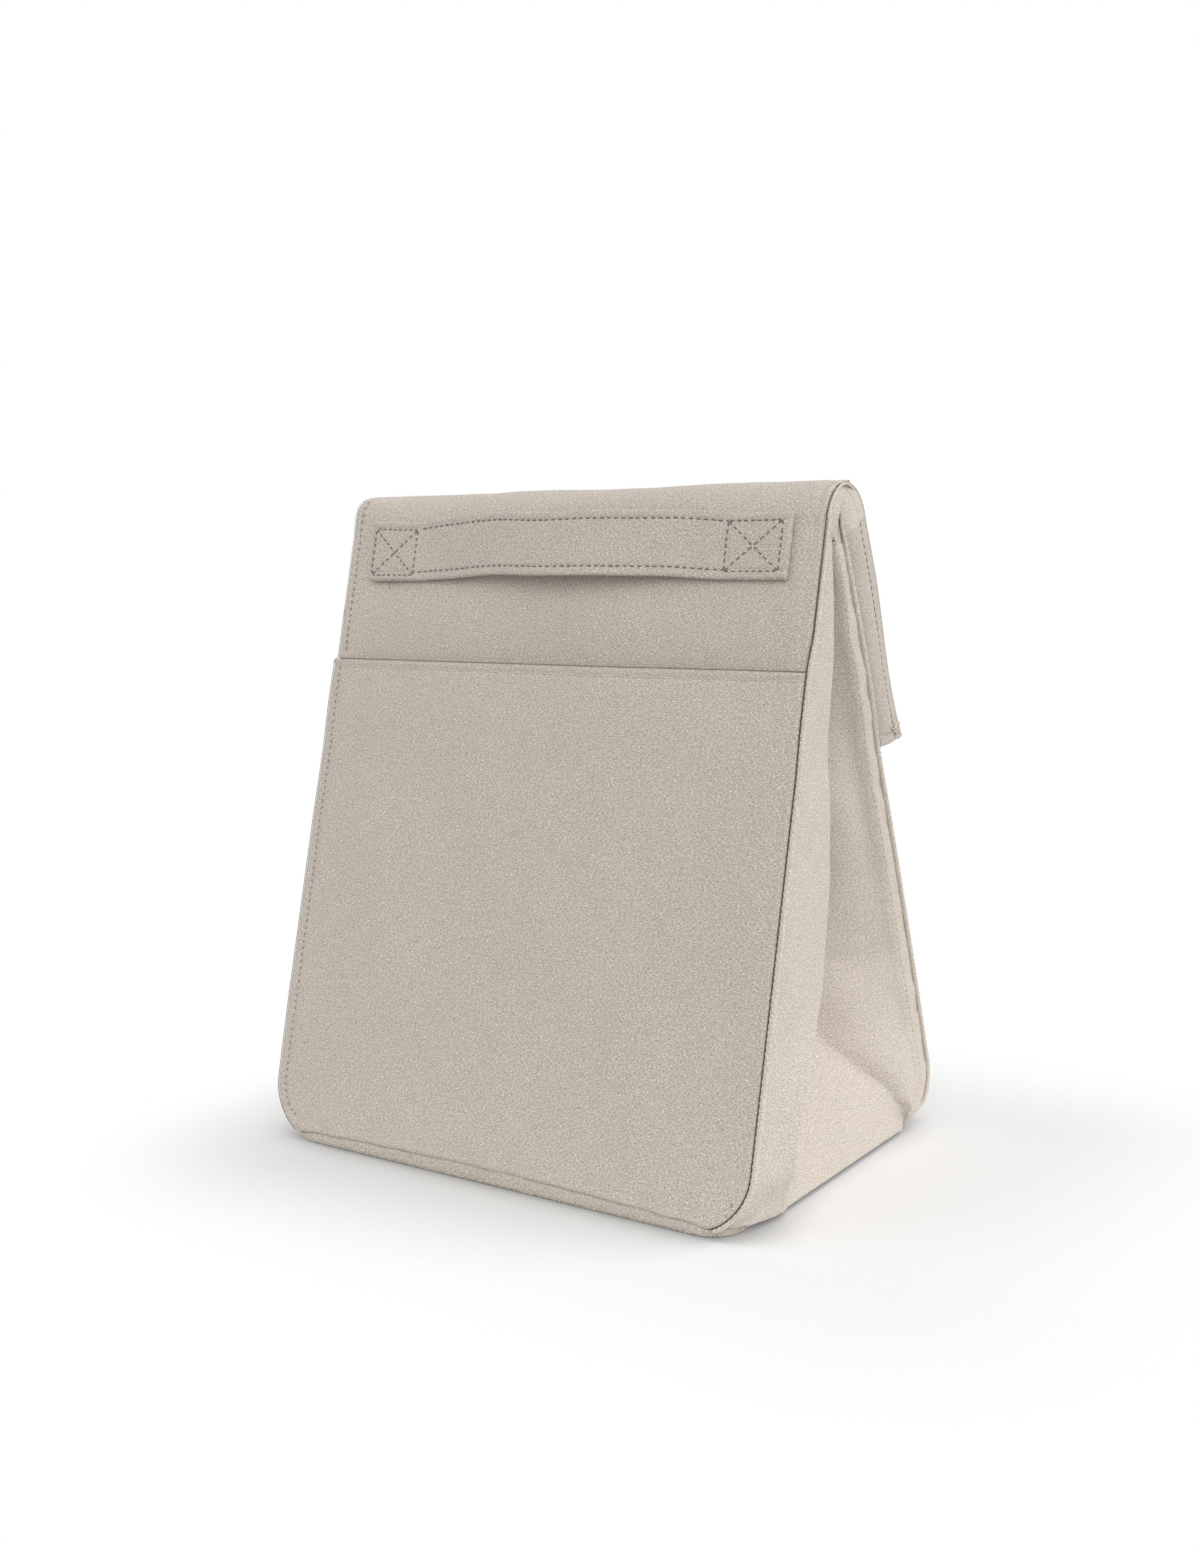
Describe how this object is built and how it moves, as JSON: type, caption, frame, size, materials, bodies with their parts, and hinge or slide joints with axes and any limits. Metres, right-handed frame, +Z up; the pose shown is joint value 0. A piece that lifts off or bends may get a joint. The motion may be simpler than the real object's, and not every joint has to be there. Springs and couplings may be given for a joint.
{
  "type": "insulated lunch bag",
  "caption": "Soft insulated lunch bag with a front slip pocket, a flat carry strap, pleated sides and a top that folds over to the rear and is held by hook-and-loop strips.",
  "frame": {"origin": "centre of the base, on the floor", "axes": "+X to the right seen from the front, +Y to the rear, +Z up"},
  "size_m": [0.2452, 0.1818, 0.2846],
  "materials": {
    "fabric": "matte linen-look weave",
    "trim": "matte corded edge",
    "foam": "soft closed-cell foam",
    "liner": "coated insulating film",
    "board": "matte board",
    "grip": "hook-and-loop tape"
  },
  "bodies": {
    "bag": {"front_panel": "fabric", "front_foam": "foam", "front_liner": "liner", "back_panel": "fabric", "back_foam": "foam", "back_liner": "liner", "right_gusset": "fabric", "right_gusset_foam": "foam", "right_gusset_liner": "liner", "left_gusset": "fabric", "left_gusset_foam": "foam", "left_gusset_liner": "liner", "base_panel": "fabric", "base_board": "board", "base_foam": "foam", "base_liner": "liner", "top_fold_fabric": "fabric", "top_fold_foam": "foam", "top_fold_liner": "liner", "crease_fabric": "fabric", "crease_foam": "foam", "crease_liner": "liner", "fold_gusset_right": "fabric", "fold_gusset_left": "fabric", "loop_strip_right": "grip", "loop_strip_left": "grip", "front_pocket": "fabric", "pocket_hem": "fabric", "strap_patch_left": "fabric", "strap_patch_right": "fabric", "front_piping_right": "trim", "front_piping_left": "trim", "rear_piping_right": "trim", "rear_piping_left": "trim"},
    "flap": {"flap_inner_fabric": "fabric", "flap_inner_foam": "foam", "flap_inner_liner": "liner", "mouth_hem_inner": "fabric", "flap_gusset_inner_right": "fabric", "flap_gusset_inner_left": "fabric", "hook_strip_right": "grip", "hook_strip_left": "grip"},
    "mouth": {"flap_outer_fabric": "fabric", "flap_outer_foam": "foam", "flap_outer_liner": "liner", "mouth_hem_outer": "fabric", "flap_gusset_outer_right": "fabric", "flap_gusset_outer_left": "fabric"},
    "handle": {"carry_strap": "fabric"}
  },
  "joints": [
    {"name": "top_fold", "type": "hinge", "parent": "bag", "child": "flap", "pos_m": [0, -0.01599, 0.2647], "axis": [1, 0, 0], "range_deg": [0, 146], "deforming": ["top_fold_fabric", "top_fold_foam", "top_fold_liner", "crease_fabric", "crease_foam", "crease_liner", "fold_gusset_right", "fold_gusset_left"]},
    {"name": "mouth_open", "type": "hinge", "parent": "flap", "child": "mouth", "pos_m": [0, 0.0044, 0.2618], "axis": [1, 0, 0], "range_deg": [0, 25], "deforming": ["top_fold_fabric", "top_fold_foam", "top_fold_liner"]},
    {"name": "handle_lift", "type": "hinge", "parent": "bag", "child": "handle", "pos_m": [0, -0.0362, 0.271], "axis": [-1, 0, 0], "range_deg": [0, 70]}
  ]
}
